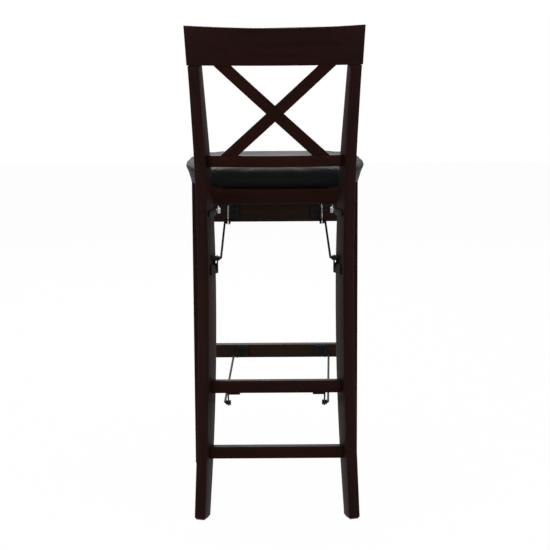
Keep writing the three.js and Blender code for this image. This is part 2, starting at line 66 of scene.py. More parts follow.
class Grain(Enum):
    """The direction a board's grain runs in, as turns that carry it to the Z axis."""

    UPRIGHT = (0.0, 0.0, 0.0)
    ACROSS = (0.0, math.radians(90), 0.0)
    DEPTHWISE = (math.radians(90), 0.0, 0.0)
    RISING_LEFT = (0.0, math.radians(-47), 0.0)
    RISING_RIGHT = (0.0, math.radians(47), 0.0)


def linear(colour: Colour) -> tuple[float, float, float, float]:
    """Turn an sRGB colour into the linear RGBA that a shader socket takes.

    Args:
        colour: Red, green and blue from 0 to 255.

    Returns:
        The linear colour with an alpha of 1.
    """
    parts = [value / 255 for value in colour]
    return (*[p / 12.92 if p <= 0.04045 else ((p + 0.055) / 1.055) ** 2.4 for p in parts], 1.0)


class Value:
    """A shader socket that takes part in Python expressions, each operator adding one Math node."""

    def __init__(self, nodes: "Nodes", socket: Any) -> None:
        """Keep the socket and the tree it is in."""
        self.nodes = nodes
        self.socket = socket

    def _math(self, operation: str, *terms: Any) -> "Value":
        """Add a Math node over the given terms."""
        node = self.nodes.add("ShaderNodeMath", {"operation": operation}, dict(enumerate(terms)))
        return Value(self.nodes, node.outputs[0])

    def __add__(self, other: Any) -> "Value":
        """Sum of two values."""
        return self._math("ADD", self, other)

    __radd__ = __add__

    def __mul__(self, other: Any) -> "Value":
        """Product of two values."""
        return self._math("MULTIPLY", self, other)

    __rmul__ = __mul__

    def __sub__(self, other: Any) -> "Value":
        """Difference of two values."""
        return self._math("SUBTRACT", self, other)

    def __rsub__(self, other: Any) -> "Value":
        """Difference with the value on the right."""
        return self._math("SUBTRACT", other, self)

    def ramp(self, low: float, high: float) -> "Value":
        """Map low to 0 and high to 1, held at the ends.

        Args:
            low: The value that becomes 0.
            high: The value that becomes 1.

        Returns:
            The mapped value.
        """
        node = self.nodes.add("ShaderNodeMapRange", {"clamp": True},
                              {0: self, 1: low, 2: high, 3: 0.0, 4: 1.0})
        return Value(self.nodes, node.outputs[0])


class Nodes:
    """Adds nodes to one tree: a material's, the world's or one of Geometry Nodes."""

    def __init__(self, tree: bpy.types.NodeTree) -> None:
        """Keep the tree."""
        self.tree = tree

    def add(self, kind: str, settings: dict[str, Any] | None = None,
            inputs: dict[Any, Any] | None = None) -> Any:
        """Add a node.

        Args:
            kind: The node's type.
            settings: Properties that are set before the sockets.
            inputs: Values or sockets by the input's name or index.

        Returns:
            The new node.
        """
        node = self.tree.nodes.new(kind)
        for key, setting in (settings or {}).items():
            setattr(node, key, setting)
        for key, given in (inputs or {}).items():
            self.feed(node.inputs[key], given)
        return node

    def feed(self, socket: bpy.types.NodeSocket, given: Any) -> None:
        """Link an input to a socket, or set its value.

        Args:
            socket: The input.
            given: A value, a socket or a plain number, colour or vector.
        """
        given = given.socket if isinstance(given, Value) else given
        if isinstance(given, bpy.types.NodeSocket):
            self.tree.links.new(given, socket)
        else:
            socket.default_value = given

    def seen(self) -> Value:
        """Tell what is shown of a background from the light that it gives.

        Returns:
            1 for camera rays and for rays off mirrors and through glass, and 0 for all others.
        """
        path = self.add("ShaderNodeLightPath").outputs
        rays = [Value(self, path[f"Is {kind} Ray"]) for kind in ("Camera", "Glossy", "Transmission")]
        return (rays[0] + rays[1] + rays[2]).ramp(0.0, 1.0)


class Shader(Nodes):
    """One material's node tree around a Principled shader."""

    def __init__(self, name: str) -> None:
        """Make a material with a Principled shader and its output.

        Args:
            name: The material's name.
        """
        self.material = bpy.data.materials.new(name)
        self.material.use_nodes = True
        super().__init__(self.material.node_tree)
        self.tree.nodes.clear()
        self.surface = self.add("ShaderNodeBsdfPrincipled")
        self.output = self.add("ShaderNodeOutputMaterial", None, {"Surface": self.surface.outputs[0]})

    def place(self, turn: Triple = (0.0, 0.0, 0.0), scale: Triple = (1.0, 1.0, 1.0)) -> Any:
        """Object coordinates, turned and then scaled.

        Args:
            turn: Rotation in radians.
            scale: Scale after the turn.

        Returns:
            The vector socket.
        """
        origin = self.add("ShaderNodeTexCoord").outputs["Object"]
        turned = self.add("ShaderNodeMapping", None, {"Vector": origin, "Rotation": turn}).outputs[0]
        return self.add("ShaderNodeMapping", None, {"Vector": turned, "Scale": scale}).outputs[0]

    def noise(self, vector: Any, scale: float, detail: float = 3.0, distortion: float = 0.0) -> Value:
        """A noise value over a vector.

        Args:
            vector: The coordinates.
            scale: How fine the noise is.
            detail: How many finer layers it has.
            distortion: How far it is warped.

        Returns:
            The noise, around 0.5.
        """
        node = self.add("ShaderNodeTexNoise", None,
                        {"Vector": vector, "Scale": scale, "Detail": detail, "Distortion": distortion})
        return Value(self, node.outputs["Fac"])

    def mix(self, factor: Value, first: Any, second: Any) -> Any:
        """Mix two colours.

        Args:
            factor: 0 gives the first colour and 1 the second.
            first: A colour or a socket.
            second: A colour or a socket.

        Returns:
            The mixed colour's socket.
        """
        node = self.add("ShaderNodeMix", {"data_type": "RGBA"}, {0: factor, 6: first, 7: second})
        return node.outputs[2]

    def bump(self, height: Value, strength: float, distance: float) -> Any:
        """The normal of a bumped surface.

        Args:
            height: The height of the bumps, from 0 to 1.
            strength: How strongly they show.
            distance: Their height in metres.

        Returns:
            The normal's socket.
        """
        return self.add("ShaderNodeBump", None,
                        {"Height": height, "Strength": strength, "Distance": distance}).outputs[0]

    def dress(self, **inputs: Any) -> None:
        """Set or link sockets of the Principled shader, with spaces written as underscores."""
        for name, given in inputs.items():
            self.feed(self.surface.inputs[name.replace("_", " ")], given)


@dataclass(frozen=True)
class StainedWood:
    """Hardwood under a satin espresso stain."""

    name: str
    dark: Colour
    warm: Colour
    grain: Grain
    roughness: float = 0.46
    gloss: float = 0.08
    gloss_tint: Colour = (255, 190, 176)
    fibre_stretch: float = 0.045
    streak_scale: float = 95.0
    figure_scale: float = 22.0
    cloud_scale: float = 7.0
    pore_scale: float = 420.0
    pore_shade: float = 0.62
    relief: float = 0.0004

    def material(self) -> bpy.types.Material:
        """Build the stain with long streaks, faint growth rings and fine open pores.

        Returns:
            The material.
        """
        shader = Shader(f"{self.name}_{self.grain.name.lower()}")
        board = shader.place(self.grain.value)
        fibre = shader.place(self.grain.value, (1.0, 1.0, self.fibre_stretch))
        streaks = shader.noise(fibre, self.streak_scale, 4.0, 0.4).ramp(0.32, 0.72)
        figure = shader.noise(fibre, self.figure_scale, 2.0, 1.2).ramp(0.35, 0.7)
        cloud = shader.noise(board, self.cloud_scale, 2.0).ramp(0.3, 0.75)
        pores = shader.noise(fibre, self.pore_scale, 2.0).ramp(0.58, 0.7)
        tone = shader.mix(streaks * 0.55 + figure * 0.45, linear(self.dark), linear(self.warm))
        deep = linear(tuple(self.pore_shade * part for part in self.dark))
        worn = shader.mix(pores * 0.55, tone, deep)
        shader.dress(
            Base_Color=shader.mix(cloud * 0.35, worn, deep),
            Roughness=self.roughness + streaks * 0.1 + pores * 0.12,
            Specular_IOR_Level=self.gloss,
            Specular_Tint=linear(self.gloss_tint),
            Normal=shader.bump(1 - pores * 0.7 - streaks * 0.3, 0.18, self.relief),
        )
        return shader.material


@dataclass(frozen=True)
class Vinyl:
    """Soft black upholstery vinyl with a fine pebbled grain."""

    name: str = "seat_vinyl"
    colour: Colour = (11, 15, 14)
    worn: Colour = (24, 29, 28)
    gloss: float = 0.07
    roughness: float = 0.5
    pebble_scale: float = 620.0
    cloud_scale: float = 11.0
    fold_scale: float = 46.0
    relief: float = 0.0004

    def material(self) -> bpy.types.Material:
        """Build the vinyl with a pebble bump and a faint uneven sheen.

        Returns:
            The material.
        """
        shader = Shader(self.name)
        here = shader.place()
        cells = shader.add("ShaderNodeTexVoronoi", {"feature": "DISTANCE_TO_EDGE"},
                           {"Vector": here, "Scale": self.pebble_scale})
        pebble = Value(shader, cells.outputs["Distance"]).ramp(0.0, 0.22)
        cloud = shader.noise(here, self.cloud_scale, 3.0).ramp(0.35, 0.7)
        fold = shader.noise(here, self.fold_scale, 2.0, 0.6)
        wear = cloud * 0.35 + (1 - pebble) * 0.15
        shader.dress(
            Base_Color=shader.mix(wear, linear(self.colour), linear(self.worn)),
            Roughness=self.roughness + cloud * 0.08 + (1 - pebble) * 0.1,
            Specular_IOR_Level=self.gloss,
            Normal=shader.bump(pebble * 0.6 + fold * 0.8, 0.3, self.relief),
        )
        return shader.material


@dataclass(frozen=True)
class Metal:
    """Steel under a finish: powder coat where coated is true, else bare zinc."""

    name: str
    colour: Colour
    roughness: float
    coated: bool
    coat_grain: float = 900.0
    zinc_grain: float = 260.0
    smudge_scale: float = 60.0
    relief: float = 0.0002

    def material(self) -> bpy.types.Material:
        """Build the metal with fine scratches or the slight orange peel of a coat.

        Returns:
            The material.
        """
        shader = Shader(self.name)
        here = shader.place()
        peel = shader.noise(here, self.coat_grain if self.coated else self.zinc_grain, 2.0)
        smudge = shader.noise(here, self.smudge_scale, 3.0).ramp(0.35, 0.75)
        lighter = linear(tuple(min(255.0, part * 1.35 + 4) for part in self.colour))
        shader.dress(
            Base_Color=shader.mix(smudge * 0.6, linear(self.colour), lighter),
            Roughness=self.roughness + smudge * 0.12,
            Metallic=0.0 if self.coated else 1.0,
            Specular_IOR_Level=0.1 if self.coated else 0.5,
            Normal=shader.bump(peel, 0.12, self.relief),
        )
        return shader.material


@dataclass(frozen=True)
class Plywood:
    """The raw board under the cushion."""

    name: str = "board_plywood"
    pale: Colour = (150, 116, 76)
    brown: Colour = (112, 82, 50)
    roughness: float = 0.72
    fibre_stretch: float = 0.05
    streak_scale: float = 60.0
    relief: float = 0.0004

    def material(self) -> bpy.types.Material:
        """Build long open grain on bare veneer.

        Returns:
            The material.
        """
        shader = Shader(self.name)
        fibre = shader.place(scale=(1.0, self.fibre_stretch, 1.0))
        streaks = shader.noise(fibre, self.streak_scale, 4.0, 0.8).ramp(0.3, 0.7)
        shader.dress(
            Base_Color=shader.mix(streaks, linear(self.pale), linear(self.brown)),
            Roughness=self.roughness + streaks * 0.12,
            Normal=shader.bump(streaks, 0.2, self.relief),
        )
        return shader.material


@dataclass(frozen=True)
class Nylon:
    """The matt glides under the feet."""

    name: str = "glide_nylon"
    colour: Colour = (24, 20, 16)
    scuffed: Colour = (52, 46, 40)
    roughness: float = 0.55
    scuff_scale: float = 240.0
    relief: float = 0.0002

    def material(self) -> bpy.types.Material:
        """Build the moulded plastic with scuffs.

        Returns:
            The material.
        """
        shader = Shader(self.name)
        scuffs = shader.noise(shader.place(), self.scuff_scale, 4.0).ramp(0.5, 0.75)
        shader.dress(
            Base_Color=shader.mix(scuffs, linear(self.colour), linear(self.scuffed)),
            Roughness=self.roughness + scuffs * 0.2,
            Normal=shader.bump(scuffs, 0.2, self.relief),
        )
        return shader.material


DARK: Colour = (15, 8, 7)
WARM: Colour = (32, 14, 12)
RED_DARK: Colour = (18, 8, 6)
RED_WARM: Colour = (37, 16, 12)
OLIVE_DARK: Colour = (22, 16, 12)
OLIVE_WARM: Colour = (36, 28, 21)
MADE: dict[Any, bpy.types.Material] = {}


def material_of(finish: Any) -> bpy.types.Material:
    """The one material of a finish, built the first time it is asked for.

    Args:
        finish: The finish.

    Returns:
        Its material.
    """
    if finish not in MADE:
        MADE[finish] = finish.material()
    return MADE[finish]


BLACK_STEEL = Metal("black_powder_coat", (9, 9, 10), 0.46, True)
ZINC = Metal("bright_zinc", (176, 178, 180), 0.24, False)


def paired(*names: str) -> list[str]:
    """Names of pieces that come in a left and a right one."""
    return [f"{name}_{side}" for name in names for side in SIDES]


def finished_mesh(name: str, mesh: bpy.types.Mesh, finish: Any) -> bpy.types.Object:
    """Put a mesh in the scene at the origin with its material.

    Args:
        name: The new object's name.
        mesh: The mesh, in the row frame.
        finish: The finish whose material it gets.

    Returns:
        The new object.
    """
    obj = bpy.data.objects.new(name, mesh)
    bpy.context.scene.collection.objects.link(obj)
    mesh.materials.clear()
    mesh.materials.append(material_of(finish))
    return obj


def shade(work: bmesh.types.BMesh) -> None:
    """Shade smooth, with edges above the sharp angle kept sharp.

    Args:
        work: The mesh being built.
    """
    for face in work.faces:
        face.smooth = True
    for edge in work.edges:
        edge.smooth = len(edge.link_faces) == 2 and edge.calc_face_angle(0.0) < SHARP_ANGLE


def merged(node: str) -> bmesh.types.BMesh:
    """A copy of a CAD solid with the corners of its faces joined.

    Args:
        node: The CAD node's name.

    Returns:
        The copy, which the caller frees.
    """
    work = bmesh.new()
    work.from_mesh(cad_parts[node].data)
    bmesh.ops.remove_doubles(work, verts=work.verts, dist=MERGE_DISTANCE)
    return work


def eased(node: str, finish: Any, width: float, body: str, segments: int = 3) -> bpy.types.Object:
    """A copy of a CAD solid whose hard edges are rounded over; it replaces the CAD node.

    Args:
        node: The CAD node's name.
        finish: The finish it gets.
        width: How wide the rounding is, in metres.
        body: The CAD body it rides on.
        segments: Faces across the rounding.

    Returns:
        The new object.
    """
    work = merged(node)
    bmesh.ops.dissolve_limit(work, angle_limit=FLAT_ANGLE, verts=work.verts, edges=work.edges)
    hard = [e for e in work.edges if len(e.link_faces) == 2 and e.calc_face_angle(0.0) > BEVELLED_ANGLE]
    bmesh.ops.bevel(work, geom=hard, offset=width, offset_type="OFFSET", segments=segments,
                    profile=0.5, affect="EDGES", clamp_overlap=True)
    bmesh.ops.triangulate(work, faces=[f for f in work.faces if len(f.verts) > 4])
    shade(work)
    mesh = bpy.data.meshes.new(f"{node}_eased")
    work.to_mesh(mesh)
    work.free()
    obj = finished_mesh(f"{node}_eased", mesh, finish)
    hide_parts(node)
    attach(obj, body)
    log.info("%s: eased by %.1f mm", node, width * 1000)
    return obj


def paint_ear_highlight(obj: bpy.types.Object, beyond: float) -> None:
    """Give the ear of a black bracket bare zinc, a painted highlight that stands in for the glints on the
    ear.

    Args:
        obj: The bracket.
        beyond: How far from the middle plane the ear begins, in metres.
    """
    # The zinc on the ear is a painted highlight for its glints; the flange and the ear are one piece of
    # steel.
    obj.data.materials.append(material_of(ZINC))
    for polygon in obj.data.polygons:
        if abs(polygon.center.x) > beyond:
            polygon.material_index = 1


@dataclass
class RearFrame:
    """The posts, the crossed back, the stretchers and their glides."""

    body: str = "rear_frame"
    edge: float = 0.0022
    slat_edge: float = 0.0012

    def build(self) -> None:
        """Dress every wooden piece of the rear frame."""
        upright = StainedWood("post_wood", DARK, WARM, Grain.UPRIGHT)
        across = StainedWood("rail_wood", DARK, WARM, Grain.ACROSS)
        reddish = StainedWood("back_rail_wood", RED_DARK, RED_WARM, Grain.ACROSS)
        for node in paired("rear_post"):
            eased(node, upright, self.edge, self.body)
        for node in ("crest_rail", "rear_mid_stretcher", "rear_low_stretcher"):
            eased(node, across, self.edge, self.body)
        eased("lower_back_rail", reddish, self.edge, self.body)
        for node, grain in (("back_slat_behind", Grain.RISING_LEFT), ("back_slat_ahead", Grain.RISING_RIGHT)):
            eased(node, StainedWood("slat_wood", RED_DARK, RED_WARM, grain), self.slat_edge, self.body)


@dataclass
class FrontFrame:
    """The front legs, the apron and the footrest."""

    body: str = "front_frame"
    edge: float = 0.0022

    def build(self) -> None:
        """Dress the front frame's boards."""
        upright = StainedWood("leg_wood", DARK, WARM, Grain.UPRIGHT)
        across = StainedWood("apron_wood", OLIVE_DARK, OLIVE_WARM, Grain.ACROSS)
        for node in paired("front_leg"):
            eased(node, upright, self.edge, self.body)
        for node in ("front_apron", "footrest"):
            eased(node, across, self.edge, self.body)


@dataclass
class Cushion:
    """The padded seat, inflated from a crowned form of the CAD cushion's size."""

    body: str = "seat"
    node: str = "seat_cushion"
    voxel: float = 0.005
    frames: int = 20
    pressure: float = 4.0
    largest_move: float = 0.004
    side_spare: float = -0.001
    crown_spare: float = 0.0068
    held_height: float = 0.012
    side_share: float = 0.25
    flat_below: float = 0.0045
    cloth_quality: int = 5
    smoothing: int = 2

    def form(self) -> bpy.types.Mesh:
        """A copy of the CAD cushion that leaves the cover room to swell at its crown.

        Returns:
            The mesh.
        """
        work = merged(self.node)
        low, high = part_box(self.node)
        middle = (low + high) / 2
        half = (high - low) / 2
        for vertex in work.verts:
            offset = vertex.co - middle
            for axis, spare in enumerate((self.side_spare, self.side_spare, self.crown_spare)):
                if axis < 2 or offset[axis] > 0:
                    vertex.co[axis] -= offset[axis] * spare / half[axis]
        mesh = bpy.data.meshes.new("seat_cushion_form")
        work.to_mesh(mesh)
        work.free()
        return mesh

    def inflate(self, obj: bpy.types.Object) -> None:
        """Swell the cover as cloth under pressure and keep the capped result.

        Args:
            obj: The remeshed form, whose mesh is changed.
        """
        start = [vertex.co.copy() for vertex in obj.data.vertices]
        floor = min(point.z for point in start)
        pinned = obj.vertex_groups.new(name="on_board")
        held = [i for i, point in enumerate(start) if point.z < floor + self.held_height]
        pinned.add(held, 1.0, "REPLACE")
        cloth = obj.modifiers.new("cover", "CLOTH")
        cloth.settings.use_pressure = True
        cloth.settings.uniform_pressure_force = self.pressure
        cloth.settings.effector_weights.gravity = 0.0
        cloth.settings.vertex_group_mass = "on_board"
        cloth.settings.quality = self.cloth_quality
        cloth.point_cache.frame_end = self.frames
        for step in range(1, self.frames + 1):
            bpy.context.scene.frame_set(step)
        evaluated = obj.evaluated_get(bpy.context.evaluated_depsgraph_get())
        swollen = [vertex.co.copy() for vertex in evaluated.data.vertices]
        obj.modifiers.remove(cloth)
        bpy.context.scene.frame_set(1)
        for vertex, before, after in zip(obj.data.vertices, start, swollen):
            move = after - before
            if move.length > self.largest_move:
                move *= self.largest_move / move.length
            vertex.co = before + Vector((move.x * self.side_share, move.y * self.side_share, move.z))

    def cover(self) -> bpy.types.Object:
        """Make the cover: remesh, flatten the underside, inflate and subdivide once.

        Returns:
            The cover.
        """
        obj = finished_mesh("seat_cushion_cover", self.form(), Vinyl())
        voxels = obj.modifiers.new("voxels", "REMESH")
        voxels.mode = "VOXEL"
        voxels.voxel_size = self.voxel
        obj.modifiers.new("even", "SMOOTH").iterations = self.smoothing
        self.apply(obj)
        floor = min(vertex.co.z for vertex in obj.data.vertices)
        for vertex in obj.data.vertices:
            if vertex.co.z < floor + self.flat_below:
                vertex.co.z = floor
        self.inflate(obj)
        rounder = obj.modifiers.new("rounder", "SUBSURF")
        rounder.levels = 1
        rounder.render_levels = 1
        self.apply(obj)
        for polygon in obj.data.polygons:
            polygon.use_smooth = True
        obj.data.materials.clear()
        obj.data.materials.append(material_of(Vinyl()))
        return obj

    @staticmethod
    def apply(obj: bpy.types.Object) -> None:
        """Turn an object's modifiers into its mesh.

        Args:
            obj: The object.
        """
        evaluated = obj.evaluated_get(bpy.context.evaluated_depsgraph_get())
        obj.data = bpy.data.meshes.new_from_object(evaluated)
        obj.modifiers.clear()

    def build(self) -> None:
        """Build the cover, which replaces the CAD cushion."""
        cover = self.cover()
        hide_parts(self.node)
        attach(cover, self.body)
        log.info("%s: %d faces", cover.name, len(cover.data.polygons))


@dataclass
class SeatFrame:
    """The rails under the cushion and the board in its underside."""

    body: str = "seat"
    edge: float = 0.0016

    def build(self) -> None:
        """Dress the rails and the board."""
        depthwise = StainedWood("seat_rail_wood", DARK, WARM, Grain.DEPTHWISE)
        across = StainedWood("seat_rail_wood", RED_DARK, RED_WARM, Grain.ACROSS)
        for node in paired("seat_side_rail"):
            eased(node, depthwise, self.edge, self.body)
        for node in ("seat_rear_rail", "seat_front_rail"):
            eased(node, across, self.edge, self.body)
        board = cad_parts["seat_board"].data
        board.materials.clear()
        board.materials.append(material_of(Plywood()))
        log.info("seat_board: dressed as it is, %d faces", len(board.polygons))


@dataclass
class Hardware:
    """Plates, rods, pins and glides, whose CAD shapes get finer edges and their finishes.

    The two ears are distances from the middle plane beyond which a bracket shows bare zinc: a painted
    highlight for the glints on its ears.
    """

    plate_edge: float = 0.0004
    segments: int = 2
    apron_highlight_from: float = 0.1082
    lug_highlight_from: float = 0.1218
    plates: dict[str, tuple[str, ...]] = field(default_factory=lambda: {
        "rear_frame": ("seat_hinge_plate", "post_rod_bracket", "stretcher_bracket"),
        "front_frame": ("apron_bracket", "footrest_bracket"),
    })

    def build(self) -> None:
        """Round the edges of plates, rods, pins and glides, and give each its finish."""
        for body, names in self.plates.items():
            for node in paired(*names):
                self.refine(node, BLACK_STEEL, body)
        for node in paired("upper_rod", "lower_rod"):
            self.refine(node, BLACK_STEEL, node)
        for side in SIDES:
            # The ears' bare zinc is a painted highlight that stands in for their glints.
            paint_ear_highlight(bpy.data.objects[f"apron_bracket_{side}_eased"], self.apron_highlight_from)
            paint_ear_highlight(self.refine(f"seat_hinge_lug_{side}", BLACK_STEEL, "seat"), self.lug_highlight_from)
        for node in paired("seat_hinge_pin", "front_bolt"):
            self.refine(node, ZINC, "seat")
        for node in paired("front_washer"):
            self.refine(node, ZINC, "front_frame", 0.5)
        for kind, body in (("rear_glide", "rear_frame"), ("front_glide", "front_frame")):
            for node in paired(kind):
                self.refine(node, Nylon(), body, 2)

    def refine(self, node: str, finish: Any, body: str, share: float = 1) -> bpy.types.Object:
        """Round a small piece's edges.

        Args:
            node: The CAD node's name.
            finish: The finish it gets.
            body: The CAD body it rides on.
            share: The rounding as a share of the plates' own.

        Returns:
            The new object.
        """
        return eased(node, finish, self.plate_edge * share, body, self.segments)


def new_group(name: str, sizes: dict[str, float]) -> bpy.types.NodeTree:
    """Start a Geometry Nodes tree that takes points, some sizes and a material.

    Args:
        name: The tree's name.
        sizes: The names of its sizes and their values when none are given.

    Returns:
        The tree, still without nodes.
    """
    group = bpy.data.node_groups.new(name, "GeometryNodeTree")
    group.interface.new_socket("Geometry", in_out="INPUT", socket_type="NodeSocketGeometry")
    for size, value in sizes.items():
        socket = group.interface.new_socket(size, in_out="INPUT", socket_type="NodeSocketFloat")
        socket.default_value = value
    group.interface.new_socket("Material", in_out="INPUT", socket_type="NodeSocketMaterial")
    group.interface.new_socket("Geometry", in_out="OUTPUT", socket_type="NodeSocketGeometry")
    return group


def set_on_points(nodes: Nodes, given: Any, piece: Any, turn: Triple = (0.0, 0.0, 0.0)) -> None:
    """End a tree: set a piece on every point, make it real and give it its material.

    Args:
        nodes: The tree's nodes.
        given: The outputs of its group input.
        piece: The socket of the piece's geometry.
        turn: The piece's rotation in radians.
    """
    copies = nodes.add("GeometryNodeInstanceOnPoints", None,
                       {"Points": given["Geometry"], "Instance": piece, "Rotation": turn}).outputs[0]
    real = nodes.add("GeometryNodeRealizeInstances", None, {"Geometry": copies}).outputs[0]
    dressed = nodes.add("GeometryNodeSetMaterial", None,
                        {"Geometry": real, "Material": given["Material"]}).outputs[0]
    nodes.add("NodeGroupOutput", None, {"Geometry": dressed})


def placed_by_nodes(points: bpy.types.Mesh, group: bpy.types.NodeTree,
                    inputs: dict[str, Any]) -> bpy.types.Mesh:
    """Run a Geometry Nodes tree on a mesh of points.

    Args:
        points: The places, one vertex each.
        group: The tree.
        inputs: The tree's inputs by name.

    Returns:
        The plain mesh that the tree makes.
    """
    holder = bpy.data.objects.new(points.name, points)
    bpy.context.scene.collection.objects.link(holder)
    modifier = holder.modifiers.new(group.name, "NODES")
    modifier.node_group = group
    sockets = {item.name: item.identifier for item in group.interface.items_tree if item.in_out == "INPUT"}
    for name, value in inputs.items():
        modifier[sockets[name]] = value
    evaluated = holder.evaluated_get(bpy.context.evaluated_depsgraph_get())
    mesh = bpy.data.meshes.new_from_object(evaluated)
    bpy.data.objects.remove(holder)
    return mesh


@dataclass
class RodEnds:
    """A bush and a push-on cap on each hook of the four rods, on both sides of the ear that holds it.

    Spreads are distances from the middle plane; bush and cap say where each begins and ends along the hook.
    """

    wire_radius: float = 0.0025
    bush_radius: float = 0.0052
    cap_radius: float = 0.0058
    upper_spread: float = 0.118
    lower_spread: float = 0.113
    lower_skew: float = 0.013
    bush: tuple[float, float] = (0.0024, 0.0062)
    cap: tuple[float, float] = (0.0098, 0.0134)
    drum_sides: int = 20
    steps: tuple[tuple[float, float], ...] = ((1.0, 0.7), (0.86, 1.0))

    def tree(self) -> bpy.types.NodeTree:
        """Build the tree: a stepped drum that lies along X, set on every point.

        Returns:
            The node group, with named inputs for the drum's radius, its length and its material.
        """
        sizes = {"Radius": self.bush_radius, "Length": self.bush[1] - self.bush[0]}
        group = new_group("rod_end_drums", sizes)
        nodes = Nodes(group)
        given = nodes.add("NodeGroupInput").outputs
        radius, length = (Value(nodes, given[name]) for name in ("Radius", "Length"))
        both = nodes.add("GeometryNodeMeshBoolean", {"operation": "UNION", "solver": "EXACT"})
        for radius_share, length_share in self.steps:
            sizes = {"Vertices": self.drum_sides, "Radius": radius * radius_share,
                     "Depth": length * length_share}
            drum = nodes.add("GeometryNodeMeshCylinder", None, sizes)
            group.links.new(drum.outputs[0], both.inputs[1])
        lying = nodes.add("GeometryNodeTransform", None,
                          {"Geometry": both.outputs[0], "Rotation": (0.0, math.radians(90), 0.0)})
        set_on_points(nodes, given, lying.outputs[0])
        return group

    def hooks(self, kind: str, hand: int) -> list[tuple[float, float, float, int]]:
        """Where one rod's hooks leave its line, and which way they turn.

        Args:
            kind: "upper" or "lower".
            hand: 1 for the left rod and -1 for the right one.

        Returns:
            X, Y, Z and the sideways direction of the rear hook and of the front hook.
        """
        low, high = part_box(f"{kind}_rod_{SIDES[0] if hand > 0 else SIDES[1]}")
        rear = (high.y - self.wire_radius, low.z + self.wire_radius)
        front = (low.y + self.wire_radius, high.z - self.wire_radius)
        if kind == "upper":
            return [(hand * self.upper_spread, *rear, hand), (hand * self.upper_spread, *front, -hand)]
        front_x = hand * self.lower_spread - self.lower_skew
        return [(hand * self.lower_spread, *rear, -hand), (front_x, *front, -hand)]

    def build(self) -> None:
        """Set the bushes and the caps on each rod."""
        group = self.tree()
        parts = (("bush", self.bush_radius, self.bush), ("cap", self.cap_radius, self.cap))
        for kind in ("upper", "lower"):
            for hand, side in ((1, SIDES[0]), (-1, SIDES[1])):
                hooks = self.hooks(kind, hand)
                for part, radius, (start, end) in parts:
                    name = f"{kind}_rod_{part}_{side}"
                    points = bpy.data.meshes.new(f"{name}_places")
                    places = [(x + way * (start + end) / 2, y, z) for x, y, z, way in hooks]
                    points.from_pydata(places, [], [])
                    inputs = {"Radius": radius, "Length": end - start, "Material": material_of(BLACK_STEEL)}
                    drums = placed_by_nodes(points, group, inputs)
                    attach(finished_mesh(name, drums, BLACK_STEEL), f"{kind}_rod_{side}")
                    log.info("%s: %d faces", name, len(drums.polygons))


@dataclass
class Screws:
    """Round-headed screws with a crossed recess, set by one Geometry Nodes tree."""

    head_radius: float = 0.0036
    head_height: float = 0.0024
    recess_width: float = 0.0009
    recess_length: float = 0.0038
    recess_depth: float = 0.001
    head_sides: int = 24
    head_rings: int = 14
    block: float = 0.02
    names: tuple[str, ...] = ("apron_screw_1", "apron_screw_2", "footrest_screw")

    def sizes(self) -> dict[str, float]:
        """The tree's sizes by the names of its inputs."""
        return {"Head Radius": self.head_radius, "Head Height": self.head_height,
                "Recess Width": self.recess_width, "Recess Length": self.recess_length}

    def tree(self) -> bpy.types.NodeTree:
        """Build the tree: a domed head with its recess cut, set on every point of the mesh it is given.

        Returns:
            The node group, with named inputs for the head's sizes and its material.
        """
        group = new_group("round_head_screws", self.sizes())
        nodes = Nodes(group)
        add = nodes.add
        given = add("NodeGroupInput").outputs
        radius, height = given["Head Radius"], given["Head Height"]
        ball = add("GeometryNodeMeshUVSphere", None,
                   {"Segments": self.head_sides, "Rings": self.head_rings, "Radius": 1.0}).outputs[0]
        size = add("ShaderNodeCombineXYZ", None, {"X": radius, "Y": radius, "Z": height}).outputs[0]
        head = add("GeometryNodeTransform", None, {"Geometry": ball, "Scale": size}).outputs[0]
        slab = (self.block, self.block, self.block / 2)
        block = add("GeometryNodeMeshCube", None, {"Size": slab}).outputs[0]
        below = add("GeometryNodeTransform", None,
                    {"Geometry": block, "Translation": (0.0, 0.0, -self.block / 4)}).outputs[0]
        top = add("ShaderNodeCombineXYZ", None, {"Z": height}).outputs[0]
        cutters = [below]
        for x, y in (("Recess Length", "Recess Width"), ("Recess Width", "Recess Length")):
            size = add("ShaderNodeCombineXYZ", None,
                       {"X": given[x], "Y": given[y], "Z": 2 * self.recess_depth}).outputs[0]
            bar = add("GeometryNodeMeshCube", None, {"Size": size}).outputs[0]
            raised = add("GeometryNodeTransform", None, {"Geometry": bar, "Translation": top})
            cutters.append(raised.outputs[0])
        for cutter in cutters:
            cut = add("GeometryNodeMeshBoolean", {"operation": "DIFFERENCE", "solver": "EXACT"})
            group.links.new(head, cut.inputs[0])
            group.links.new(cutter, cut.inputs[1])
            head = cut.outputs[0]
        set_on_points(nodes, given, head, (math.radians(-90), 0.0, 0.0))
        return group

    def build(self) -> None:
        """Set a head on each CAD screw and turn the result into one mesh that replaces them."""
        names = paired(*self.names)
        mesh = bpy.data.meshes.new("screw_places")
        boxes = [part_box(name) for name in names]
        places = [((lo.x + hi.x) / 2, hi.y - self.head_height, (lo.z + hi.z) / 2) for lo, hi in boxes]
        mesh.from_pydata(places, [], [])
        heads = placed_by_nodes(mesh, self.tree(), {**self.sizes(), "Material": material_of(BLACK_STEEL)})
        obj = finished_mesh("bracket_screws", heads, BLACK_STEEL)
        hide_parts(*names)
        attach(obj, "front_frame")
        log.info("%s: %d screws, %d faces", obj.name, len(names), len(heads.polygons))


@dataclass(frozen=True)
class Lamp:
    """A soft square lamp."""

    name: str
    place: Triple
    size: float
    power: float

    def build(self, aim: Triple) -> None:
        """Hang the lamp so that it faces a point.

        Args:
            aim: The point.
        """
        data = bpy.data.lights.new(self.name, "AREA")
        data.size = self.size
        data.energy = self.power
        lamp = bpy.data.objects.new(self.name, data)
        bpy.context.scene.collection.objects.link(lamp)
        lamp.location = self.place
        lamp.rotation_euler = (Vector(aim) - Vector(self.place)).to_track_quat("-Z", "Y").to_euler()


